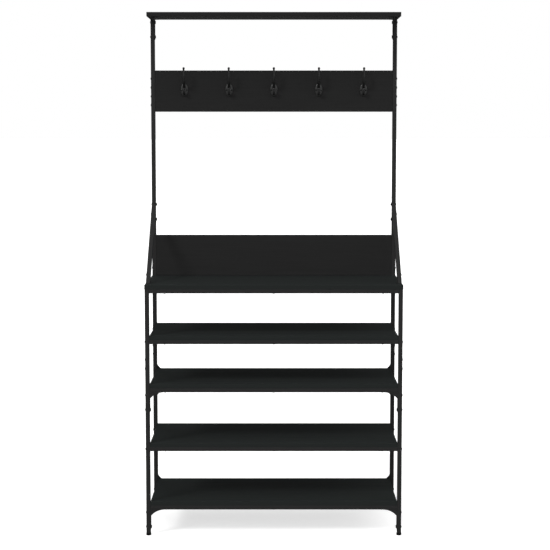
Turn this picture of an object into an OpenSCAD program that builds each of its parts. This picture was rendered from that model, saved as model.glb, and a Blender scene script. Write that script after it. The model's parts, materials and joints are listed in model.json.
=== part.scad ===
// Hall tree with hooks: a black steel tube frame with boards, panels, braces and coat hooks.
// Millimetres. X is to the right, the front faces -Y, +Z is up, and the origin is on the floor
// below the middle of the frame. Most pieces are drawn for the right rear corner and mirrored.

/* [Overall] */
// Outer width over the posts
frame_w = 898; // [760:1:1100]
// Width of the console and top boards
board_w = 900; // [762:1:1102]
// Depth over the posts
frame_d = 340; // [300:1:420]
// Outer side of the square post tube
post = 15; // [15:1:20]
// Wall of the square tubes
wall = 1.2; // [1:0.1:1.5]
// Rounding of the tubes' long edges
tube_r = 1.6; // [0.8:0.1:2]

/* [Tiers] */
// Underside of the base shelf frame
base_z = 93; // [90:1:130]
// Underside of the lower shelf frame
lower_z = 302; // [290:1:315]
// Underside of the middle shelf frame
middle_z = 511; // [500:1:520]
// Underside of the upper shelf frame
upper_z = 681; // [670:1:700]
// Underside of the console frame
console_z = 859; // [850:1:870]
// Height of a shelf frame's rails
rail_h = 14; // [14:1:20]
// Width of a shelf frame's rails
rail_w = 15; // [15:1:20]
// Thickness of every board and panel
board_t = 15; // [12:1:18]
// Rounding of the boards' edges
board_r = 0.8; // [0.4:0.1:1.2]

/* [Posts] */
// Joint between the lower and the next post section
low_joint_z = 610; // [605:1:620]
// Joint between the middle and upper rear sections
mid_joint_z = 1123.5; // [1110:0.5:1130]
// Joint between the upper and top rear sections
high_joint_z = 1562; // [1555:1:1570]
// Underside of the top board
top_z = 1824; // [1800:1:1850]

/* [Panels] */
// Height of the back panel and of the hook panel
panel_h = 150; // [120:1:180]
// Underside of the hook panel
hook_panel_z = 1490; // [1485:1:1495]
// Depth of the top board
top_d = 170; // [150:1:200]

/* [Corner gussets] */
// Radius of the gusset's arch
arch_r = 60.5; // [55:0.5:65]
// Distance from the post to where the arch meets the rail
arch_run = 49; // [40:1:52]
// Length of the gusset's strap below the rail
strap_l = 70; // [68:1:72]
// Thickness of straps and flanges
strap_t = 1.4; // [1.2:0.1:2]
// Thickness of the gusset's web plate
web_t = 2; // [1.5:0.1:3]

/* [Braces] */
// Slope of the side braces in degrees
brace_a = 43.8; // [40:0.1:46]
// Where the brace's upper edge would meet the console board, from the front
brace_start = 47; // [40:1:60]
// Thickness of the plates at the brace's ends
plate_t = 2.5; // [2:0.5:3]
// Distance from the brace's ends to its bolts
brace_bolt_d = 36; // [30:1:40]

/* [Hooks] */
// Number of coat hooks
hook_count = 5; // [3:1:5]
// Distance between hooks
hook_pitch = 163.5; // [120:0.5:180]
// Height of the hook screws above the panel's underside
hook_rise = 79; // [70:1:95]
// Diameter of the hook's arms
arm_d = 7.5; // [6:0.5:8]

/* [Feet] */
// Diameter of the foot pad
foot_d = 17.6; // [16:0.1:19]
// Height of the foot pad
foot_h = 8.8; // [8:0.1:9]
// How far a foot screws out
foot_travel = 10; // [0:1:10]

/* [Fasteners] */
// Diameter of the frame bolts
bolt_d = 6; // [5:0.5:6]
// Diameter of the bolt's domed head
head_d = 10.6; // [9:0.1:11]
// Height of the bolt's domed head
head_h = 2.2; // [2:0.1:3]
// Diametral clearance of bolts and screws in their holes
play = 0.2; // [0.1:0.1:0.4]

/* [Hidden] */
$fn = 48;

steel = [0.10, 0.10, 0.105];
board = [0.13, 0.13, 0.13];
plastic = [0.05, 0.05, 0.05];
fastener = [0.08, 0.08, 0.08];

out_x = frame_w / 2;            // outer face of a right post
in_x = out_x - post;            // inner face of a right post
mid_x = out_x - post / 2;
out_y = frame_d / 2;            // rear face of a rear post
in_y = out_y - post;            // front face of a rear post
mid_y = out_y - post / 2;
bore = post - 2 * wall;         // inside of the post tube
plug_w = bore - 0.2;            // sleeves and plugs inside the tubes
foot_gap = 0.2;                 // between the foot pad and the post
seam = 0.3;                     // gap between two post sections
cap_t = 2;                      // plates that close the rails' ends
vent_d = 5;                     // vent hole in a side rail
post_z = foot_h + foot_gap;     // lower end of the posts
console_top = console_z + rail_h + board_t;
console_post_top = console_z + rail_h;
sleeve_low = 70;                // length of the lower and upper sleeves
sleeve_mid = 90;
screw_d = 4;
screw_in = 10;                  // depth of a board screw in its board
screw_from_end = 54;            // from a long rail's end to its last screw
nut_flat = 10;                  // width across a nut's flats
nut_t = 5;
clinch_t = 2.5;                 // height of a nut pressed into a strap
barrel_d = 10;
barrel_in = 26;                 // from a panel's end to its barrel nut
barrel_slot = 1.4;              // width and depth of the slot in a barrel nut
weld_lap = 0.4;                 // how far a welded flange laps its strap
ear_run = 51.5;                 // arch run of the ear above a rear rail
dowel_d = 8;
dowel_l = 9;

// heights of the bolts through the posts
gusset_bolt_drop = [11, 62.5];  // below a gusseted frame
short_splice = 16;              // from a short joint to its bolts
long_splice = 27.5;
back_panel_bolts = [console_top + 28, console_top + 123];
hook_panel_bolts = [hook_panel_z + 24, hook_panel_z + 120.5];
bracket_bolt_zs = [top_z - 10, top_z - 62.5];
shelf_bolt_zs = [lower_z + rail_h / 2, upper_z + rail_h / 2];
console_bolt_zs = [console_z + rail_h / 2];
gusset_bolt_zs = [for (z = [base_z, middle_z], d = gusset_bolt_drop) z - d];
low_splice_zs = [low_joint_z - short_splice, low_joint_z + short_splice];
mid_splice_zs = [mid_joint_z - long_splice, mid_joint_z + long_splice];
high_splice_zs = [high_joint_z - short_splice, high_joint_z + short_splice];
front_through = concat(shelf_bolt_zs, gusset_bolt_zs);
rear_through = concat(front_through, console_bolt_zs, mid_splice_zs,
                      back_panel_bolts, hook_panel_bolts, bracket_bolt_zs);
tapped_inside = concat(low_splice_zs, high_splice_zs);

// ---- placing -------------------------------------------------------------------------

// Puts what is drawn for the right rear corner at side sx (-1 left) and end sy (-1 front)
module at_corner(sx, sy) {
    mirror([sx < 0 ? 1 : 0, 0, 0]) mirror([0, sy < 0 ? 1 : 0, 0]) children();
}

module all_corners() {
    for (sx = [-1, 1], sy = [-1, 1]) at_corner(sx, sy) children();
}

module both_sides() {
    for (sx = [-1, 1]) at_corner(sx, 1) children();
}

// A box from its low corner to its high corner
module block(low, high) {
    translate(low) cube(high - low);
}

// A rectangle about the origin with round corners
module round_rect(w, h, r) {
    square([w - 2 * r, h], center = true);
    square([w, h - 2 * r], center = true);
    for (x = [-1, 1], y = [-1, 1]) translate([x * (w / 2 - r), y * (h / 2 - r)]) circle(r = r);
}

// A box from its low to its high corner with all its edges rounded
module soft_block(low, high, r) {
    size = high - low;
    translate(low + size / 2) intersection() {
        linear_extrude(size[2] + 2, center = true) round_rect(size[0], size[1], r);
        rotate([90, 0, 0]) linear_extrude(size[1] + 2, center = true) round_rect(size[0], size[2], r);
        rotate([90, 0, 90]) linear_extrude(size[0] + 2, center = true) round_rect(size[1], size[2], r);
    }
}

// Section of a tube
module tube_section(w, h) {
    difference() {
        round_rect(w, h, tube_r);
        square([w - 2 * wall, h - 2 * wall], center = true);
    }
}

// A cylinder along X from x0 to x1
module rod_x(d, x0, x1) {
    translate([x0, 0, 0]) rotate([0, 90, 0]) cylinder(d = d, h = x1 - x0);
}

// ---- fasteners -----------------------------------------------------------------------

// Domed head above z = 0 with a hexagonal socket
module dome_head(d, h, socket) {
    ball = (d * d / 4 + h * h) / (2 * h);
    difference() {
        rotate_extrude() intersection() {
            translate([0, h - ball]) circle(r = ball, $fn = 96);
            square([d / 2, h]);
        }
        translate([0, 0, h * 0.4]) cylinder(d = socket, h = h, $fn = 6);
    }
}

// Frame bolt: head on the plane x = 0, shank towards -X
module bolt(length) {
    rotate([0, 90, 0]) {
        dome_head(head_d, head_h, 4.6);
        translate([0, 0, -length]) cylinder(d = bolt_d, h = length);
    }
}

// Screw: head below z = 0, shank upwards
module screw(d, head, head_t, length) {
    cylinder(d = d, h = length);
    mirror([0, 0, 1]) dome_head(head, head_t, d * 0.7);
}

// Bolt hole along X at height z through the right rear post
module bolt_hole(z, x0, x1) {
    translate([0, mid_y, z]) rod_x(bolt_d + play, x0, x1);
}

// Hexagonal nut along X, starting at x0
module nut(z, x0, x1) {
    difference() {
        translate([x0, mid_y, z]) rotate([0, 90, 0])
            cylinder(d = nut_flat / cos(30), h = x1 - x0, $fn = 6);
        bolt_hole(z, x0 - 1, x1 + 1);
    }
}

// Bolts of one length through the outer faces of a post at the given heights
module post_bolts(heights, length) {
    for (z = heights) translate([out_x, mid_y, z]) bolt(length);
}

// ---- posts ---------------------------------------------------------------------------

// Square tube between two heights: holes through both walls, and holes in the outer wall only
module post_section(z0, z1, through) {
    color(steel) difference() {
        translate([mid_x, mid_y, z0]) linear_extrude(z1 - z0) tube_section(post, post);
        for (z = through) if (z > z0 && z < z1) bolt_hole(z, in_x - 1, out_x + 1);
        for (z = tapped_inside) if (z > z0 && z < z1) bolt_hole(z, mid_x, out_x + 1);
    }
}

module front_left_lower_post() {
    at_corner(-1, -1) post_section(post_z, low_joint_z, front_through);
}

module front_right_lower_post() {
    at_corner(1, -1) post_section(post_z, low_joint_z, front_through);
}

module rear_left_lower_post() {
    at_corner(-1, 1) post_section(post_z, low_joint_z, rear_through);
}

module rear_right_lower_post() {
    at_corner(1, 1) post_section(post_z, low_joint_z, rear_through);
}

module front_left_upper_post() {
    at_corner(-1, -1) post_section(low_joint_z + seam, console_post_top, front_through);
}

module front_right_upper_post() {
    at_corner(1, -1) post_section(low_joint_z + seam, console_post_top, front_through);
}

// Middle rear section, with a hole for the screw of the brace's head plate
module middle_rear_post() {
    difference() {
        post_section(low_joint_z + seam, mid_joint_z, rear_through);
        color(steel) head_screw_hole();
    }
}

module rear_left_middle_post() {
    at_corner(-1, 1) middle_rear_post();
}

module rear_right_middle_post() {
    at_corner(1, 1) middle_rear_post();
}

module rear_left_upper_post() {
    at_corner(-1, 1) post_section(mid_joint_z + seam, high_joint_z, rear_through);
}

module rear_right_upper_post() {
    at_corner(1, 1) post_section(mid_joint_z + seam, high_joint_z, rear_through);
}

module rear_left_top_post() {
    at_corner(-1, 1) post_section(high_joint_z + seam, top_z, rear_through);
}

module rear_right_top_post() {
    at_corner(1, 1) post_section(high_joint_z + seam, top_z, rear_through);
}

// Square sleeve inside the tubes across a joint, tapped for its two bolts
module sleeve(joint_z, length, bolts) {
    color(steel) difference() {
        translate([mid_x, mid_y, joint_z]) cube([plug_w, plug_w, length], center = true);
        translate([mid_x, mid_y, joint_z]) cube([plug_w - 4, plug_w - 4, length + 2], center = true);
        for (z = bolts) bolt_hole(z, in_x - 1, out_x + 1);
        head_screw_hole();
    }
}

module lower_splice_sleeves() {
    all_corners() sleeve(low_joint_z, sleeve_low, low_splice_zs);
}

module middle_splice_sleeves() {
    both_sides() sleeve(mid_joint_z, sleeve_mid, mid_splice_zs);
}

module upper_splice_sleeves() {
    both_sides() sleeve(high_joint_z, sleeve_low, high_splice_zs);
}

module post_plug(top) {
    color(plastic) difference() {
        union() {
            translate([mid_x, mid_y, top - 10]) cube([plug_w, plug_w, 20], center = true);
            translate([mid_x, mid_y, top - 1]) cylinder(d = dowel_d, h = dowel_l + 1);
        }
        bolt_hole(bracket_bolt_zs[0], in_x - 1, out_x + 1);
    }
}

// Plugs in the tops of the posts, each with a dowel into the board above
module post_top_plugs() {
    for (sx = [-1, 1]) {
        at_corner(sx, -1) post_plug(console_post_top);
        at_corner(sx, 1) post_plug(top_z);
    }
}

// ---- feet ----------------------------------------------------------------------------

// Levelling foot: a pad with rounded edges and a stud that screws into the insert
module foot() {
    edge = 1.2;
    stud_top = post_z + 7 + foot_travel;
    color(plastic) translate([mid_x, mid_y, 0]) {
        rotate_extrude($fn = 64) {
            square([foot_d / 2 - edge, foot_h]);
            translate([0, edge]) square([foot_d / 2, foot_h - 2 * edge]);
            for (z = [edge, foot_h - edge]) translate([foot_d / 2 - edge, z]) circle(r = edge);
        }
        cylinder(d = bolt_d, h = stud_top);
    }
}

module front_left_foot() {
    at_corner(-1, -1) foot();
}

module front_right_foot() {
    at_corner(1, -1) foot();
}

module rear_left_foot() {
    at_corner(-1, 1) foot();
}

module rear_right_foot() {
    at_corner(1, 1) foot();
}

// Threaded inserts in the lower ends of the posts
module foot_inserts() {
    insert_h = 16;
    color(plastic) all_corners() difference() {
        translate([mid_x, mid_y, post_z + insert_h / 2]) cube([plug_w, plug_w, insert_h], center = true);
        translate([mid_x, mid_y, post_z - 1]) cylinder(d = bolt_d + 0.12, h = insert_h + 2);
    }
}

// ---- shelf frames --------------------------------------------------------------------

// Where a board's screws stand on the long rails
module board_screw_places() {
    for (sx = [-1:1], sy = [-1, 1])
        translate([sx * (in_x - screw_from_end), sy * (out_y - rail_w / 2), 0]) children();
}

// Hollow rail along the front or the rear, closed by a plate at each end
module long_rail() {
    difference() {
        rotate([90, 0, 90]) linear_extrude(2 * in_x, center = true) round_rect(rail_w, rail_h, tube_r);
        cube([2 * (in_x - cap_t), rail_w - 2 * wall, rail_h - 2 * wall], center = true);
    }
}

// Hollow rail from front to rear, let into the walls of the long rails
module side_rail() {
    length = 2 * (in_y + wall);
    difference() {
        rotate([90, 0, 0]) linear_extrude(length, center = true) round_rect(rail_w, rail_h, tube_r);
        cube([rail_w - 2 * wall, length - 2 * wall, rail_h - 2 * wall], center = true);
        translate([0, 0, -rail_h]) cylinder(d = vent_d, h = rail_h);
    }
}

// Welded frame between the posts, with holes for board screws and bolts
module rail_frame(z, bolt_ends) {
    color(steel) difference() {
        translate([0, 0, z + rail_h / 2]) {
            for (s = [-1, 1]) {
                translate([0, s * (out_y - rail_w / 2), 0]) long_rail();
                translate([s * (in_x - rail_w / 2), 0, 0]) side_rail();
            }
        }
        board_screw_places() translate([0, 0, z - 1]) cylinder(d = screw_d + play, h = rail_h + 2);
        for (sx = [-1, 1], sy = bolt_ends) at_corner(sx, sy) bolt_hole(z + rail_h / 2, in_x - 5, in_x + 1);
    }
}

module base_shelf_frame() {
    rail_frame(base_z, []);
}

module lower_shelf_frame() {
    rail_frame(lower_z, [-1, 1]);
}

module middle_shelf_frame() {
    rail_frame(middle_z, []);
}

module upper_shelf_frame() {
    rail_frame(upper_z, [-1, 1]);
}

module console_frame() {
    rail_frame(console_z, [1]);
}

// ---- corner gussets ------------------------------------------------------------------

// Arch outline in a corner: u runs inwards from the post, v down from the rail
module arch_web(run, drop) {
    difference() {
        square([run, drop]);
        translate([run, arch_r]) circle(r = arch_r, $fn = 180);
    }
}

// The flange that follows the arch
module arch_flange(run, drop) {
    intersection() {
        square([run, drop]);
        difference() {
            translate([run, arch_r]) circle(r = arch_r + strap_t, $fn = 180);
            translate([run, arch_r]) circle(r = arch_r, $fn = 180);
        }
    }
}

// Depth of the arch where it meets the post
function arch_drop(run) = arch_r - sqrt(arch_r * arch_r - run * run);

// Stands an outline of u inwards and v downwards in the rear plane, thick along -Y
module rear_plane(z, depth) {
    translate([in_x, out_y, z]) mirror([1, 0, 0]) rotate([90, 0, 0]) linear_extrude(depth)
        mirror([0, 1, 0]) children();
}

// Gusset under the right rear corner of the frame whose underside is at z
module gusset(z) {
    drop = arch_drop(arch_run);
    color(steel) {
        rear_plane(z, web_t) arch_web(arch_run, drop);
        rear_plane(z, post) arch_flange(arch_run, drop + weld_lap);
        difference() {
            rear_plane(z, post) square([strap_t, strap_l]);
            for (d = gusset_bolt_drop) bolt_hole(z - d, in_x - 5, in_x + 1);
        }
    }
}

// Ear above the rail of a rear corner, rising behind the board
module ear(z) {
    drop = arch_drop(ear_run);
    color(steel) translate([0, 0, 2 * (z + rail_h)]) mirror([0, 0, 1]) {
        rear_plane(z + rail_h, web_t) arch_web(ear_run, drop);
        rear_plane(z + rail_h, post) square([strap_t, drop]);
    }
}

module base_front_gussets() {
    for (sx = [-1, 1]) at_corner(sx, -1) gusset(base_z);
}

module base_rear_gussets() {
    both_sides() {
        gusset(base_z);
        ear(base_z);
    }
}

module middle_front_gussets() {
    for (sx = [-1, 1]) at_corner(sx, -1) gusset(middle_z);
}

module middle_rear_gussets() {
    both_sides() {
        gusset(middle_z);
        ear(middle_z);
    }
}

// ---- boards and panels ---------------------------------------------------------------

// Blind holes for the screws that come up through the rails
module board_screw_holes(z) {
    board_screw_places() translate([0, 0, z - 1]) cylinder(d = screw_d + play, h = screw_in + 1.5);
}

// Shelf board between the posts; an eared one leaves room for its gussets' ears
module shelf_board(z, eared) {
    top = z + rail_h;
    color(board) difference() {
        soft_block([-in_x, -out_y, top], [in_x, eared ? out_y - web_t : out_y, top + board_t], board_r);
        if (eared) both_sides() block([in_x - strap_t - 0.2, in_y - 0.2, top - 1],
                                      [in_x + 1, out_y + 1, top + board_t + 1]);
        board_screw_holes(top);
    }
}

module base_shelf_board() {
    shelf_board(base_z, true);
}

module lower_shelf_board() {
    shelf_board(lower_z, false);
}

module middle_shelf_board() {
    shelf_board(middle_z, true);
}

module upper_shelf_board() {
    shelf_board(upper_z, false);
}

// Console board: covers the front posts and is notched round the rear ones
module console_board() {
    low = console_z + rail_h;
    color(board) difference() {
        soft_block([-board_w / 2, -out_y, low], [board_w / 2, out_y, low + board_t], board_r);
        both_sides() block([in_x - 0.2, in_y - 0.2, low - 1], [board_w, out_y + 1, low + board_t + 1]);
        board_screw_holes(low);
        for (sx = [-1, 1]) at_corner(sx, -1) dowel_hole(low);
        both_sides() translate([mid_x, brace_foot_screw_y, low + board_t - screw_in])
            cylinder(d = screw_d + play, h = screw_in + 1);
    }
}

module dowel_hole(z) {
    translate([mid_x, mid_y, z - 1]) cylinder(d = dowel_d + play, h = dowel_l + 1.5);
}

// Top board: stands on the rear posts and reaches forward over the hooks
module top_shelf_board() {
    color(board) difference() {
        soft_block([-board_w / 2, out_y - top_d, top_z], [board_w / 2, out_y, top_z + board_t], board_r);
        both_sides() {
            dowel_hole(top_z);
            bracket_screw_places() translate([0, 0, -1]) cylinder(d = screw_d + play, h = screw_in + 2);
        }
    }
}

// Panel between the rear posts, with a bolt hole and a barrel nut hole at each bolt
module panel(z, bolts) {
    color(board) difference() {
        soft_block([-in_x, out_y - board_t, z], [in_x, out_y, z + panel_h], board_r);
        both_sides() for (b = bolts) {
            bolt_hole(b, in_x - barrel_in - 8, in_x + 1);
            translate([in_x - barrel_in, out_y - 12.5, b]) rotate([-90, 0, 0])
                cylinder(d = barrel_d + play, h = 14);
        }
        children();
    }
}

module back_panel() {
    panel(console_top, back_panel_bolts);
}

// Hooks are counted from the left
function hook_x(n) = (n - (hook_count + 1) / 2) * hook_pitch;
hook_z = hook_panel_z + hook_rise;
hook_screw_x = 9;
hook_screw_d = 3.5;

module hook_panel() {
    panel(hook_panel_z, hook_panel_bolts)
        for (n = [1:hook_count], s = [-1, 1])
            translate([hook_x(n) + s * hook_screw_x, in_y - 1, hook_z]) rotate([-90, 0, 0])
                cylinder(d = hook_screw_d + play, h = 14);
}

// ---- top brackets --------------------------------------------------------------------

bracket_reach = 122;            // arm in front of the rear post
bracket_arm = 10;               // height of the arm below the board
bracket_flange = 15;

module bracket_screw_places() {
    for (y = [in_y - 30, in_y - bracket_reach + 15])
        translate([in_x - bracket_flange / 2 - 1, y, top_z]) children();
}

// Arched plate beside the post, with a flange under the top board
module top_bracket() {
    leg = strap_l + 2;
    color(steel) difference() {
        union() {
            translate([in_x, 0, 0]) rotate([0, -90, 0]) linear_extrude(strap_t) {
                // drawn with z along the first axis and y along the second
                translate([top_z - leg, in_y]) square([leg, post]);
                translate([top_z - bracket_arm, in_y - bracket_reach])
                    square([bracket_arm, bracket_reach]);
                difference() {
                    translate([top_z - bracket_arm - arch_run, in_y - arch_run])
                        square([arch_run, arch_run]);
                    translate([top_z - bracket_arm - arch_run, in_y - arch_run])
                        circle(r = arch_run, $fn = 180);
                }
            }
            block([in_x - bracket_flange, in_y - bracket_reach, top_z - strap_t], [in_x, in_y, top_z]);
        }
        for (z = bracket_bolt_zs) bolt_hole(z, in_x - 5, in_x + 1);
        bracket_screw_places() translate([0, 0, -5]) cylinder(d = screw_d + play, h = 10);
    }
}

module left_top_bracket() {
    at_corner(-1, 1) top_bracket();
}

module right_top_bracket() {
    at_corner(1, 1) top_bracket();
}

// ---- side braces ---------------------------------------------------------------------

brace_foot_z = console_top + plate_t;
brace_head_y = in_y - plate_t;
slope = tan(brace_a);
// Upper edge of the brace, moved down by a distance across the tube
function brace_z(y, across) = console_top + (y + out_y - brace_start) * slope - across / cos(brace_a);
function brace_y(z, across) = -out_y + brace_start + (z - console_top + across / cos(brace_a)) / slope;
brace_foot_mid_y = brace_y(brace_foot_z, post / 2);
brace_foot_screw_y = brace_y(brace_foot_z, post) + 12;
brace_head_screw_z = brace_z(brace_head_y, post) - 12;

// Outline of the brace between two lines across the tube
module brace_outline(a, b, foot_z, head_y) {
    polygon([[brace_y(foot_z, a), foot_z], [brace_y(foot_z, b), foot_z],
             [head_y, brace_z(head_y, b)], [head_y, brace_z(head_y, a)]]);
}

// Stands an outline of y and z in the side plane from x0 to x1
module side_plane(x0, x1) {
    translate([x0, 0, 0]) rotate([90, 0, 90]) linear_extrude(x1 - x0) children();
}

// Runs along the brace's axis from its foot
module brace_bolt_places() {
    foot = [brace_foot_mid_y, brace_foot_z];
    head = [brace_head_y, brace_z(brace_head_y, post / 2)];
    step = brace_bolt_d * [cos(brace_a), sin(brace_a)];
    for (p = [foot + step, head - step]) translate([0, p[0], p[1]]) children();
}

// Tube along the brace's axis, cut level at its foot and upright at its head
module brace_tube() {
    middle_y = (brace_foot_mid_y + brace_head_y) / 2;
    color(steel) difference() {
        intersection() {
            translate([mid_x, middle_y, brace_z(middle_y, post / 2)]) rotate([brace_a - 90, 0, 0])
                linear_extrude(600, center = true) tube_section(post, post);
            block([in_x - 1, -out_y, brace_foot_z], [out_x + 1, brace_head_y, top_z]);
        }
        brace_bolt_places() rod_x(bolt_d + play, mid_x, out_x + 1);
    }
}

module left_brace() {
    at_corner(-1, 1) brace_tube();
}

module right_brace() {
    at_corner(1, 1) brace_tube();
}

// Solid tongue inside the brace, cut to the zone given as a child
module brace_tongue() {
    difference() {
        intersection() {
            side_plane(in_x + wall + 0.1, out_x - wall - 0.1)
                brace_outline(wall + 0.1, post - wall - 0.1, brace_foot_z, brace_head_y);
            children();
        }
        brace_bolt_places() rod_x(bolt_d + play, in_x, out_x + 1);
    }
}

// Plates that hold the braces on the console board
module brace_foot_plates() {
    rise = 36;
    low_y = brace_y(brace_foot_z, 0);
    color(steel) both_sides() {
        brace_tongue() block([in_x, -out_y, brace_foot_z], [out_x, out_y, brace_foot_z + rise]);
        difference() {
            block([in_x, low_y, console_top], [out_x, brace_foot_screw_y + 8, brace_foot_z]);
            translate([mid_x, brace_foot_screw_y, console_top - 1])
                cylinder(d = screw_d + play, h = plate_t + 2);
        }
    }
}

// Where the screw through a head plate enters the rear post, along Y
module head_screw_place() {
    translate([mid_x, in_y, brace_head_screw_z]) rotate([-90, 0, 0]) children();
}

module head_screw_hole() {
    head_screw_place() cylinder(d = screw_d + play, h = 8, center = true);
}

// Plates that hold the braces on the rear posts
module brace_head_plates() {
    run = 36;
    high_z = brace_z(brace_head_y, 0);
    color(steel) both_sides() {
        brace_tongue() block([in_x, brace_head_y - run, console_top], [out_x, brace_head_y, top_z]);
        difference() {
            block([in_x, brace_head_y, brace_head_screw_z - 8], [out_x, in_y, high_z]);
            head_screw_hole();
        }
    }
}

// ---- coat hooks ----------------------------------------------------------------------

// Arc of round bar: starts at the origin towards +X and turns up by the angle
module bent_bar(d, r, turn) {
    translate([0, r]) rotate([0, 0, -90]) rotate_extrude(angle = turn, $fn = 96)
        translate([r, 0]) circle(d = d);
}

module straight_bar(d, length) {
    rotate([0, 90, 0]) cylinder(d = d, h = length);
}

// One arm: a straight root at an angle, a bend up to a steeper angle, a straight end and a ball.
// It gets a little thinner at each step.
module hook_arm(root, lift, r, turn, end, ball) {
    taper = 0.8;
    rotate([0, 0, lift]) {
        translate([-1, 0, 0]) straight_bar(arm_d + taper, root + 1);
        translate([root, 0, 0]) {
            bent_bar(arm_d, r, turn);
            translate([r * sin(turn), r * (1 - cos(turn)), 0]) rotate([0, 0, turn]) {
                straight_bar(arm_d - taper, end);
                translate([end, 0, 0]) sphere(d = ball, $fn = 64);
            }
        }
    }
}

// Oval of four arcs that meet smoothly: w wide, h high, with ends of radius r
module oval(w, h, r) {
    end = h / 2 - r;                                     // centre of an end arc
    side = (end * end + w * w / 4 - r * r) / (w - 2 * r);  // radius of a side arc
    back = side - w / 2;                                 // its centre beyond the middle
    meet = end * side / (side - r);                      // height where the arcs meet
    for (s = [-1, 1]) translate([0, s * end]) circle(r = r);
    intersection() {
        translate([back, 0]) circle(r = side, $fn = 180);
        translate([-back, 0]) circle(r = side, $fn = 180);
        square([w + 1, 2 * meet], center = true);
    }
}

// Double coat hook on its oval plate; the upper arm is long, the lower one short
module coat_hook(n) {
    thick = 4;
    color(steel) translate([hook_x(n), in_y, hook_z]) {
        difference() {
            rotate([90, 0, 0]) linear_extrude(thick) oval(28, 46, 9);
            for (s = [-1, 1]) translate([s * hook_screw_x, 1, 0]) rotate([90, 0, 0])
                cylinder(d = hook_screw_d + play, h = thick + 2);
        }
        // the arms are drawn with x forwards and y up
        translate([0, -thick, 0]) rotate([90, 0, -90]) {
            translate([0, 11, 0]) hook_arm(22, 38, 38, 48, 25, 9);
            translate([0, -15, 0]) hook_arm(2, 0, 15, 82, 3, 9);
        }
    }
}

module coat_hook_1() {
    coat_hook(1);
}

module coat_hook_2() {
    coat_hook(2);
}

module coat_hook_3() {
    coat_hook(3);
}

module coat_hook_4() {
    coat_hook(4);
}

module coat_hook_5() {
    coat_hook(5);
}

module hook_screws() {
    color(fastener) for (n = [1:hook_count], s = [-1, 1])
        translate([hook_x(n) + s * hook_screw_x, in_y - 4, hook_z]) rotate([-90, 0, 0])
            screw(hook_screw_d, 7, 2, 16);
}

// ---- groups of fasteners -------------------------------------------------------------

// Bolts through the posts into the ends of the plain shelf frames and the console frame
module shelf_bolts() {
    color(fastener) {
        all_corners() post_bolts(shelf_bolt_zs, 24);
        both_sides() post_bolts(console_bolt_zs, 24);
    }
}

module gusset_bolts() {
    color(fastener) all_corners() post_bolts(gusset_bolt_zs, 19);
}

module splice_bolts() {
    color(fastener) {
        all_corners() post_bolts(low_splice_zs, 13);
        both_sides() {
            post_bolts(mid_splice_zs, 19);
            post_bolts(high_splice_zs, 13);
        }
    }
}

module panel_bolts() {
    color(fastener) both_sides() post_bolts(concat(back_panel_bolts, hook_panel_bolts), 46);
}

module brace_bolts() {
    color(fastener) both_sides() translate([out_x, 0, 0]) brace_bolt_places() bolt(12);
}

module bracket_bolts() {
    color(fastener) both_sides() post_bolts(bracket_bolt_zs, 19);
}

// Nuts: behind the rails' end plates, on the straps and on the long splices
module weld_nuts() {
    strap_x = in_x - strap_t;
    color(fastener) {
        all_corners() {
            for (z = shelf_bolt_zs) nut(z, in_x - cap_t - nut_t, in_x - cap_t);
            for (z = gusset_bolt_zs) nut(z, strap_x - clinch_t, strap_x);
        }
        both_sides() {
            for (z = mid_splice_zs) nut(z, in_x - clinch_t, in_x);
            for (z = bracket_bolt_zs) nut(z, strap_x - clinch_t, strap_x);
            for (z = console_bolt_zs) nut(z, in_x - cap_t - nut_t, in_x - cap_t);
        }
    }
}

module barrel_nuts() {
    color(fastener) both_sides() for (z = concat(back_panel_bolts, hook_panel_bolts)) difference() {
        translate([in_x - barrel_in, out_y - 12, z]) rotate([-90, 0, 0]) cylinder(d = barrel_d, h = 11);
        bolt_hole(z, in_x - barrel_in - 8, in_x);
        translate([in_x - barrel_in, out_y - 1, z])
            cube([2 * barrel_d, 2 * barrel_slot, barrel_slot], center = true);
    }
}

// Screws up through the rails and brackets into the boards, and those of the brace plates
module board_screws() {
    color(fastener) {
        for (z = [base_z, lower_z, middle_z, upper_z, console_z])
            board_screw_places() translate([0, 0, z]) screw(screw_d, 8, 2.2, rail_h + screw_in);
        both_sides() {
            bracket_screw_places() translate([0, 0, -strap_t]) screw(screw_d, 8, 2.2, screw_in);
            translate([mid_x, brace_foot_screw_y, brace_foot_z]) mirror([0, 0, 1])
                screw(screw_d, 8, 2.2, screw_in);
            head_screw_place() translate([0, 0, -plate_t]) screw(screw_d, 8, 2.2, 6);
        }
    }
}

front_left_lower_post();
front_right_lower_post();
rear_left_lower_post();
rear_right_lower_post();
front_left_upper_post();
front_right_upper_post();
rear_left_middle_post();
rear_right_middle_post();
rear_left_upper_post();
rear_right_upper_post();
rear_left_top_post();
rear_right_top_post();
lower_splice_sleeves();
middle_splice_sleeves();
upper_splice_sleeves();
base_shelf_frame();
lower_shelf_frame();
middle_shelf_frame();
upper_shelf_frame();
console_frame();
base_front_gussets();
base_rear_gussets();
middle_front_gussets();
middle_rear_gussets();
base_shelf_board();
lower_shelf_board();
middle_shelf_board();
upper_shelf_board();
console_board();
top_shelf_board();
back_panel();
hook_panel();
left_top_bracket();
right_top_bracket();
left_brace();
right_brace();
brace_foot_plates();
brace_head_plates();
coat_hook_1();
coat_hook_2();
coat_hook_3();
coat_hook_4();
coat_hook_5();
hook_screws();
front_left_foot();
front_right_foot();
rear_left_foot();
rear_right_foot();
foot_inserts();
post_top_plugs();
shelf_bolts();
gusset_bolts();
splice_bolts();
panel_bolts();
brace_bolts();
bracket_bolts();
weld_nuts();
barrel_nuts();
board_screws();
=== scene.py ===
"""Hall tree with hooks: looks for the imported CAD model. Metres, Z up, the front faces -Y."""
import json
import math

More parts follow.
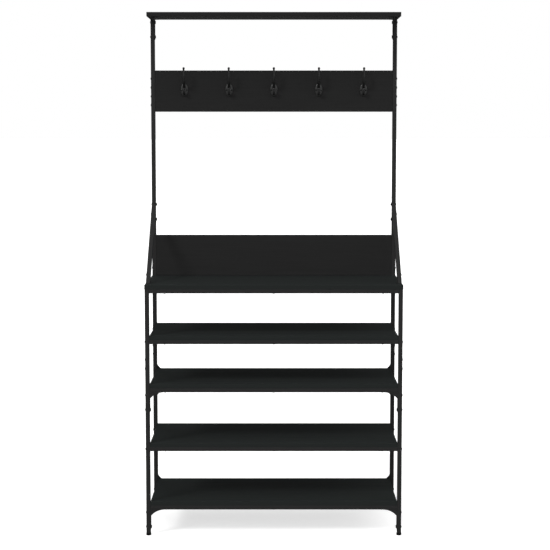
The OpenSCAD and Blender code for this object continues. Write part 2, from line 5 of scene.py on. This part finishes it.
import bmesh
import bpy
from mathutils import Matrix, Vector


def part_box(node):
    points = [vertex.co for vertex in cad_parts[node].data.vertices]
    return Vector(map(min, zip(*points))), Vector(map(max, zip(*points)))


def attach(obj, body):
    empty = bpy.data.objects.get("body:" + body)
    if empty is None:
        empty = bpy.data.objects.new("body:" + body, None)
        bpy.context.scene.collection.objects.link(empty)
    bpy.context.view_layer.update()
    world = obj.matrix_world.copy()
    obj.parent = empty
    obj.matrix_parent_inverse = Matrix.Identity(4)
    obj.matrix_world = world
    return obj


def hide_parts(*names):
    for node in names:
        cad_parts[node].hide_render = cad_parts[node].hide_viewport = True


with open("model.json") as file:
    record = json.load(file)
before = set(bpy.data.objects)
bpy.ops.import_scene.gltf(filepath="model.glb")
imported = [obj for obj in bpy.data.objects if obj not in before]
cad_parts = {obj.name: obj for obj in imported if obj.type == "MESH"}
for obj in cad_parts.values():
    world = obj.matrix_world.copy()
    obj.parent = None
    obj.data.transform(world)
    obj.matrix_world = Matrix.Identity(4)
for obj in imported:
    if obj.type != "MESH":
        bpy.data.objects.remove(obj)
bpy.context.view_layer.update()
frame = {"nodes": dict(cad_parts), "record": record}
nodes = frame["nodes"]
scene = bpy.context.scene

FEET = ("front_left", "front_right", "rear_left", "rear_right")
HOOKS = [name for name in sorted(nodes) if name.startswith("coat_hook_")]

# ---- camera ---------------------------------------------------------------------------

CAMERA_AT = (0.0042, -5.13, 1.439)
CAMERA_DOWN = 5.21  # degrees below level
CAMERA_LENS = 94.1
CAMERA_SHIFT = -0.033
CAMERA_REACH = 500  # past the rim of the floor


def make_camera():
    data = bpy.data.cameras.new("camera")
    data.lens = CAMERA_LENS
    data.sensor_width = 36
    data.shift_y = CAMERA_SHIFT
    data.clip_end = CAMERA_REACH
    camera = bpy.data.objects.new("camera", data)
    camera.location = CAMERA_AT
    camera.rotation_euler = (math.radians(90 - CAMERA_DOWN), 0, 0)
    scene.collection.objects.link(camera)
    scene.camera = camera


# ---- materials ------------------------------------------------------------------------

BOARD = (0.0163, 0.0190, 0.0184)  # the shelves and the console, faintly cool
PANEL = (0.0158, 0.0158, 0.0158)  # the two panels and the top board
PANEL_NODES = ("back_panel", "hook_panel", "top_shelf_board")
BOARD_ROUGHNESS = 0.6
BOARD_SPECULAR = 0.08
STREAKS = (6, 260, 260)  # the laminate's grain and its fibres both run along X
FIBRES = (25, 900, 900)
STREAK_DARK, STREAK_LIGHT = 0.92, 1.08  # shares of the board's colour
BAND = 0.0011  # thickness of the edge band
BAND_SHADE = 0.92
SEAM = 0.00018  # half the width of its seam line
SEAM_SHADE = 0.55


class Surface:
    """A Principled material with its node tree, built from object coordinates."""

    def __init__(self, name, roughness, specular):
        self.material = bpy.data.materials.new(name)
        self.material.use_nodes = True
        self.tree = self.material.node_tree
        self.shader = self.tree.nodes["Principled BSDF"]
        self.shader.inputs["Specular IOR Level"].default_value = specular
        self.shader.inputs["Roughness"].default_value = roughness
        self.place = self.tree.nodes.new("ShaderNodeTexCoord").outputs["Object"]

    def link(self, output, socket):
        self.tree.links.new(output, socket)

    def stretched(self, scale):
        """Object coordinates scaled by a vector."""
        node = self.tree.nodes.new("ShaderNodeMapping")
        node.inputs["Scale"].default_value = scale
        self.link(self.place, node.inputs["Vector"])
        return node.outputs["Vector"]

    def noise(self, scale, detail=3.0, rough=0.5, place=None):
        node = self.tree.nodes.new("ShaderNodeTexNoise")
        node.inputs["Scale"].default_value = scale
        node.inputs["Detail"].default_value = detail
        node.inputs["Roughness"].default_value = rough
        self.link(place or self.place, node.inputs["Vector"])
        return node.outputs["Fac"]

    def math(self, operation, first, second):
        """A Math node of two values, each a socket or a number."""
        node = self.tree.nodes.new("ShaderNodeMath")
        node.operation = operation
        for socket, value in zip(node.inputs, (first, second)):
            if isinstance(value, (int, float)):
                socket.default_value = value
            else:
                self.link(value, socket)
        return node.outputs[0]

    def span(self, value, low, high, to_low=0.0, to_high=1.0):
        """Maps low..high of a value to another range, clamped."""
        node = self.tree.nodes.new("ShaderNodeMapRange")
        for name, number in (
            ("From Min", low), ("From Max", high), ("To Min", to_low), ("To Max", to_high)
        ):
            node.inputs[name].default_value = number
        self.link(value, node.inputs["Value"])
        return node.outputs["Result"]

    def blend(self, factor, first, second):
        """Mixes two colours, each a socket or a triple."""
        node = self.tree.nodes.new("ShaderNodeMix")
        node.data_type = "RGBA"
        self.link(factor, node.inputs["Factor"])
        for name, value in (("A", first), ("B", second)):
            socket = [s for s in node.inputs if s.name == name and s.type == "RGBA"][0]
            if isinstance(value, tuple):
                socket.default_value = (*value, 1)
            else:
                self.link(value, socket)
        return [s for s in node.outputs if s.type == "RGBA"][0]

    def bump(self, height, strength, distance, below=None):
        node = self.tree.nodes.new("ShaderNodeBump")
        node.inputs["Strength"].default_value = strength
        node.inputs["Distance"].default_value = distance
        self.link(height, node.inputs["Height"])
        if below:
            self.link(below, node.inputs["Normal"])
        return node.outputs["Normal"]

    def finish(self, colour, roughness, normal):
        self.link(colour, self.shader.inputs["Base Color"])
        self.link(roughness, self.shader.inputs["Roughness"])
        self.link(normal, self.shader.inputs["Normal"])
        return self.material


def grey(value):
    return (value, value, value)


def shade(colour, share):
    """A colour made lighter or darker."""
    return tuple(channel * share for channel in colour)


def coated(name, base, roughness, specular, peel, depth, mottle=7.0):
    """A sprayed or moulded skin: faint clouds, fine peel in the relief and in the gloss."""
    surface = Surface(name, roughness, specular)
    clouds = surface.noise(mottle, detail=4)
    grains = surface.noise(peel, detail=2, rough=0.6)
    pores = surface.noise(peel * 3.1, detail=1)
    tone = surface.blend(surface.span(clouds, 0.35, 0.65), grey(base * 0.9), grey(base * 1.1))
    specks = surface.blend(surface.span(grains, 0.3, 0.7), tone, grey(base * 1.05))
    gloss = surface.span(grains, 0.3, 0.7, roughness - 0.05, roughness + 0.05)
    relief = surface.bump(pores, 0.25, depth * 0.5)
    relief = surface.bump(grains, 0.5, depth, relief)
    return surface.finish(specks, gloss, relief)


def edge_distance(surface, low, high):
    """Distance from the nearest of a board's four cut edges; its thinnest axis has none."""
    split = surface.tree.nodes.new("ShaderNodeSeparateXYZ")
    surface.link(surface.place, split.inputs["Vector"])
    size = [b - a for a, b in zip(low, high)]
    gaps = []
    for axis in range(3):
        if axis == size.index(min(size)):
            continue
        middle = (low[axis] + high[axis]) / 2
        offset = surface.math("SUBTRACT", split.outputs[axis], middle)
        gaps.append(surface.math("SUBTRACT", size[axis] / 2, surface.math("ABSOLUTE", offset, 0)))
    return surface.math("MINIMUM", *gaps)


def laminate(name, low, high, colour):
    """Black laminate with a fine grain along X, and an edge band with its seam line."""
    surface = Surface(name, BOARD_ROUGHNESS, BOARD_SPECULAR)
    streaks = surface.noise(1.0, detail=4, rough=0.6, place=surface.stretched(STREAKS))
    fibres = surface.noise(1.0, detail=3, place=surface.stretched(FIBRES))
    clouds = surface.noise(3.0, detail=3)
    dark, light = shade(colour, STREAK_DARK), shade(colour, STREAK_LIGHT)
    tone = surface.blend(surface.span(streaks, 0.35, 0.65), dark, light)
    tone = surface.blend(surface.span(clouds, 0.35, 0.65, 0, 0.35), tone, colour)
    inside = edge_distance(surface, low, high)
    band = surface.span(inside, BAND - 0.0001, BAND + 0.0001, 1, 0)
    seam = surface.math("ABSOLUTE", surface.math("SUBTRACT", inside, BAND), 0)
    seam = surface.span(seam, 0, SEAM, 1, 0)
    tone = surface.blend(band, tone, shade(colour, BAND_SHADE))
    tone = surface.blend(seam, tone, shade(colour, SEAM_SHADE))
    gloss = surface.span(streaks, 0.3, 0.7, BOARD_ROUGHNESS - 0.05, BOARD_ROUGHNESS + 0.05)
    relief = surface.bump(fibres, 0.35, 0.00006)
    relief = surface.bump(surface.math("SUBTRACT", 1, seam), 0.6, 0.0001, relief)
    return surface.finish(tone, gloss, relief)


def make_materials():
    made = {
        "steel": coated(
            "powder_coat", 0.0168, roughness=0.45, specular=0.15, peel=700, depth=0.00012
        ),
        "hook": coated(
            "painted_casting", 0.014, roughness=0.33, specular=0.4, peel=420, depth=0.00016,
            mottle=25
        ),
        "fastener": coated(
            "black_oxide", 0.007, roughness=0.34, specular=0.3, peel=1500, depth=0.00005,
            mottle=120
        ),
        "plastic": coated(
            "moulded_plastic", 0.0035, roughness=0.55, specular=0.12, peel=1100, depth=0.0001,
            mottle=40
        ),
    }
    for part in frame["record"]["subparts"]:
        node = nodes[part["node"]]
        if part["material_slot"] == "board":
            colour = PANEL if node.name in PANEL_NODES else BOARD
            material = laminate("laminate_" + node.name, *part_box(node.name), colour)
        else:
            material = made[part["material_slot"]]
        node.data.materials.clear()
        node.data.materials.append(material)
    return made


# ---- mesh helpers ---------------------------------------------------------------------


def mesh_object(name, mesh, material, at=(0, 0, 0)):
    if not mesh.materials:
        mesh.materials.append(material)
    piece = bpy.data.objects.new(name, mesh)
    piece.location = at
    scene.collection.objects.link(piece)
    return piece


def from_rings(name, rings):
    """Smooth mesh through closed rings of points, capped at both ends."""
    count = len(rings[0])
    faces = [tuple(reversed(range(count)))]
    for r in range(len(rings) - 1):
        for i in range(count):
            j = (i + 1) % count
            a, b = r * count, (r + 1) * count
            faces.append((a + i, a + j, b + j, b + i))
    last = (len(rings) - 1) * count
    faces.append(tuple(range(last, last + count)))
    mesh = bpy.data.meshes.new(name)
    mesh.from_pydata([tuple(p) for ring in rings for p in ring], [], faces)
    mesh.shade_smooth()
    return mesh


def circle(count):
    return [2 * math.pi * i / count for i in range(count)]


def turned(radius, angle, z):
    """A point at an angle round the Z axis."""
    return Vector((radius * math.cos(angle), radius * math.sin(angle), z))


def evaluated(piece):
    """The mesh of an object with its modifiers applied."""
    graph = bpy.context.evaluated_depsgraph_get()
    return bpy.data.meshes.new_from_object(piece.evaluated_get(graph))


# ---- coat hooks -----------------------------------------------------------------------

# Lengths are in metres and angles in degrees. start is the root's Y and Z from the plate's
# centre, bend the radius of the bend, and end the distance from the bend to the ball's centre.
UPPER_ARM = {
    "start": (-0.002, 0.0095), "lift": 38, "root": 0.0245, "bend": 0.038, "turn": 48,
    "end": 0.0252, "thick": 0.0098, "thin": 0.0068, "ball": 0.009,
}
LOWER_ARM = {
    "start": (-0.002, -0.0145), "lift": 0, "root": 0.004, "bend": 0.0152, "turn": 82,
    "end": 0.0040, "thick": 0.0084, "thin": 0.0070, "ball": 0.009,
}
PLATE_W, PLATE_H, PLATE_THICK, PLATE_RIM = 0.028, 0.046, 0.0046, 0.0022
ARM_SIDES, BEND_STEPS, NECK_STEPS, BALL_STEPS = 28, 28, 6, 12
CAST_VOXEL = 0.0006


def arm_rings(start, lift, root, bend, turn, end, thick, thin, ball):
    """Rings along one arm in the YZ plane: straight root, bend, straight end, ball tip."""
    at, angle = Vector((0, *start)), math.radians(lift)

    def forward(angle):
        return Vector((0, -math.cos(angle), math.sin(angle)))

    path = [(at.copy(), angle)]
    at += forward(angle) * root
    path.append((at.copy(), angle))
    step = math.radians(turn) / BEND_STEPS
    for _ in range(BEND_STEPS):
        at += forward(angle + step / 2) * bend * step
        angle += step
        path.append((at.copy(), angle))
    neck = end - ball / 2 * 0.9  # the neck ends inside the ball
    for i in range(1, NECK_STEPS + 1):
        path.append((at + forward(angle) * neck * i / NECK_STEPS, angle))
    rings = []
    for i, (point, tilt) in enumerate(path):
        share = i / (len(path) - 1)
        rings.append((point, tilt, (thick + (thin - thick) * share) / 2))
    middle = at + forward(angle) * end
    for i in range(BALL_STEPS + 1):
        polar = math.pi * (0.16 + 0.82 * i / BALL_STEPS)
        point = middle - forward(angle) * ball / 2 * math.cos(polar)
        rings.append((point, angle, ball / 2 * math.sin(polar)))
    out = []
    for point, tilt, radius in rings:
        up = Vector((0, math.sin(tilt), math.cos(tilt)))
        out.append([
            point + Vector((radius * math.cos(a), 0, 0)) + up * radius * math.sin(a)
            for a in circle(ARM_SIDES)
        ])
    return out


def plate_rings():
    """Rings of an oval plate that faces -Y: an upright edge, then a face domed to the middle."""
    profile = [(1, 0), (1, PLATE_RIM)]
    for step in range(1, 15):
        t = math.radians(6 * step)
        profile.append((math.cos(t), PLATE_RIM + (PLATE_THICK - PLATE_RIM) * math.sin(t)))
    return [
        [
            Vector((PLATE_W / 2 * share * math.cos(a), -out, PLATE_H / 2 * share * math.sin(a)))
            for a in circle(72)
        ]
        for share, out in profile
    ]


def hook_mesh():
    """One cast hook round its plate's centre: plate and two arms grown together."""
    parts = bmesh.new()
    for i, rings in enumerate((plate_rings(), arm_rings(**UPPER_ARM), arm_rings(**LOWER_ARM))):
        parts.from_mesh(from_rings(f"hook_shape_{i}", rings))
    rough = bpy.data.meshes.new("hook_rough")
    bmesh.ops.recalc_face_normals(parts, faces=parts.faces)
    parts.to_mesh(rough)
    parts.free()
    source = bpy.data.objects.new("hook_source", rough)
    scene.collection.objects.link(source)
    grown = source.modifiers.new("grown", "REMESH")
    grown.mode, grown.voxel_size, grown.use_smooth_shade = "VOXEL", CAST_VOXEL, True
    cast = source.modifiers.new("cast", "SMOOTH")
    cast.factor, cast.iterations = 0.5, 10
    mesh = evaluated(source)
    mesh.name = "coat_hook"
    bpy.data.objects.remove(source)
    mesh.shade_smooth()
    return mesh


def make_hooks(material):
    mesh = hook_mesh()
    for name in HOOKS:
        low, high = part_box(name)
        plate = (low[0] + high[0]) / 2, high[1], low[2] + PLATE_H / 2
        piece = mesh_object(name + "_cast", mesh, material, plate)
        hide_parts(name)
        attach(piece, "frame")


# ---- levelling feet -------------------------------------------------------------------

PAD_R, PAD_H = 0.0088, 0.0088
PAD_EDGE = 0.0012  # rounding of both rims
SOLE = ((0.0012, 0.0006), (0.0050, 0.0006), (0.0056, 0), (0.0068, 0))  # radius and height
FLUTES, FLUTE_DEPTH = 28, 0.00028
STUD_R, STUD_TOP = 0.003, 0.026
PITCH, THREAD_DEPTH = 0.001, 0.0005


def pad_rings():
    """Rings of the foot pad: recessed sole, rounded lower rim, fluted grip, rounded top."""
    profile = list(SOLE)
    for step in range(1, 7):
        t = math.radians(15 * step)
        profile.append(
            (PAD_R - PAD_EDGE + PAD_EDGE * math.sin(t), PAD_EDGE - PAD_EDGE * math.cos(t))
        )
    profile += [(PAD_R, PAD_EDGE + (PAD_H - 2 * PAD_EDGE) * i / 8) for i in range(1, 8)]
    for step in range(0, 7):
        t = math.radians(15 * step)
        profile.append(
            (PAD_R - PAD_EDGE + PAD_EDGE * math.cos(t), PAD_H - PAD_EDGE + PAD_EDGE * math.sin(t))
        )
    profile.append((STUD_R * 0.9, PAD_H))
    rings = []
    for radius, z in profile:
        share = max(0.0, 1 - ((z - PAD_H / 2) / (PAD_H / 2 - PAD_EDGE)) ** 4)
        flute = FLUTE_DEPTH * share if radius > PAD_R - PAD_EDGE else 0
        rings.append([
            turned(radius - flute * (1 - math.cos(FLUTES * a)) / 2, a, z) for a in circle(168)
        ])
    return rings


def thread_rings(z0, z1, radius, depth, pitch):
    """Rings of a threaded stud: the groove climbs one pitch a turn and fades at the top."""
    rings, per_pitch = [], 8
    count = int((z1 - z0) / pitch * per_pitch)
    for i in range(count + 1):
        z = z0 + (z1 - z0) * i / count
        fade = min(1.0, (z1 - z) / (1.5 * pitch))
        ring = []
        for a in circle(28):
            phase = (z / pitch - a / (2 * math.pi)) % 1
            groove = depth * (1 - abs(2 * phase - 1)) * fade + (1 - fade) * depth * 0.8
            ring.append(turned(radius - groove, a, z))
        rings.append(ring)
    return rings


def make_feet(plastic, metal):
    pad = from_rings("foot_pad", pad_rings())
    thread = thread_rings(PAD_H - 0.001, STUD_TOP, STUD_R, THREAD_DEPTH, PITCH)
    stud = from_rings("foot_stud", thread)
    for corner in FEET:
        name = corner + "_foot"
        low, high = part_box(name)
        at = ((low[0] + high[0]) / 2, (low[1] + high[1]) / 2, 0)
        for mesh, material, ending, kind in (
            (pad, plastic, "_pad", "plastic"), (stud, metal, "_stud", "fastener")
        ):
            piece = mesh_object(name + ending, mesh, material, at)
            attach(piece, name + "_body")
            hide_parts(name)


# ---- light and floor ------------------------------------------------------------------

FLOOR_RADII = (0.5, 3, 150)
FLOOR_SIDES = 96
FLOOR_SEEN = 0.8  # what the camera meets of the floor: its colour and its glow
FLOOR_GLOW = 0.6
FLOOR_BOUNCE = 0.25  # its colour for all other light
# Name, azimuth, elevation, power, spread, and whether the sun shows in highlights
SUNS = (
    ("key", -44, 37, 1.3, 14, True),
    ("front", 5, 36, 2.15, 100, True),
    ("overhead", 0, 85, 0.3, 120, True),
    ("right", 80, 25, 0.9, 60, True),
    ("back", 205, 12, 1.2, 24, False),
)
WORLD_LIGHT = 0.08
WORLD_SEEN = 1.0


def make_floor():
    rings = [[turned(radius, a, 0) for a in circle(FLOOR_SIDES)] for radius in FLOOR_RADII]
    faces = [tuple(range(FLOOR_SIDES))]
    for r in range(len(rings) - 1):
        near, far = r * FLOOR_SIDES, (r + 1) * FLOOR_SIDES
        for i in range(FLOOR_SIDES):
            j = (i + 1) % FLOOR_SIDES
            faces.append((near + i, far + i, far + j, near + j))
    mesh = bpy.data.meshes.new("floor")
    mesh.from_pydata([tuple(p) for ring in rings for p in ring], [], faces)
    surface = Surface("floor", 0.9, 0.0)
    clouds = surface.noise(0.8, detail=2)
    seen = surface.tree.nodes.new("ShaderNodeLightPath").outputs["Is Camera Ray"]
    tone = surface.blend(seen, grey(FLOOR_BOUNCE), grey(FLOOR_SEEN))
    # a light table: part of the floor's brightness is its own, so shadows on it stay faint
    surface.shader.inputs["Emission Color"].default_value = (1, 1, 1, 1)
    glow = surface.math("MULTIPLY", seen, FLOOR_GLOW)
    surface.link(glow, surface.shader.inputs["Emission Strength"])
    gloss = surface.span(clouds, 0.3, 0.7, 0.88, 0.92)
    material = surface.finish(tone, gloss, surface.bump(clouds, 0.1, 0.001))
    floor = mesh_object("floor", mesh, material)


def sun_light(name, azimuth, elevation, power, spread, glossy):
    """Sunlight from a direction: azimuth 0 comes from the front and 90 from the right."""
    data = bpy.data.lights.new(name, "SUN")
    data.energy = power
    data.angle = math.radians(spread)
    lamp = bpy.data.objects.new(name, data)
    turn, rise = math.radians(azimuth), math.radians(elevation)
    across = math.cos(rise)
    source = Vector((math.sin(turn) * across, -math.cos(turn) * across, math.sin(rise)))
    lamp.rotation_euler = source.to_track_quat("Z", "Y").to_euler()
    lamp.visible_glossy = glossy
    scene.collection.objects.link(lamp)


def make_light():
    for sun in SUNS:
        sun_light(*sun)
    world = bpy.data.worlds.new("studio")
    world.use_nodes = True
    scene.world = world
    tree = world.node_tree
    background = tree.nodes["Background"]
    background.inputs["Color"].default_value = (1, 1, 1, 1)
    ray = tree.nodes.new("ShaderNodeLightPath")
    strength = tree.nodes.new("ShaderNodeMapRange")
    strength.inputs["To Min"].default_value = WORLD_LIGHT
    strength.inputs["To Max"].default_value = WORLD_SEEN
    tree.links.new(ray.outputs["Is Camera Ray"], strength.inputs["Value"])
    tree.links.new(strength.outputs["Result"], background.inputs["Strength"])
    scene.view_settings.view_transform = "Standard"


make_camera()
make_light()
make_floor()
materials = make_materials()
make_hooks(materials["hook"])
make_feet(materials["plastic"], materials["fastener"])
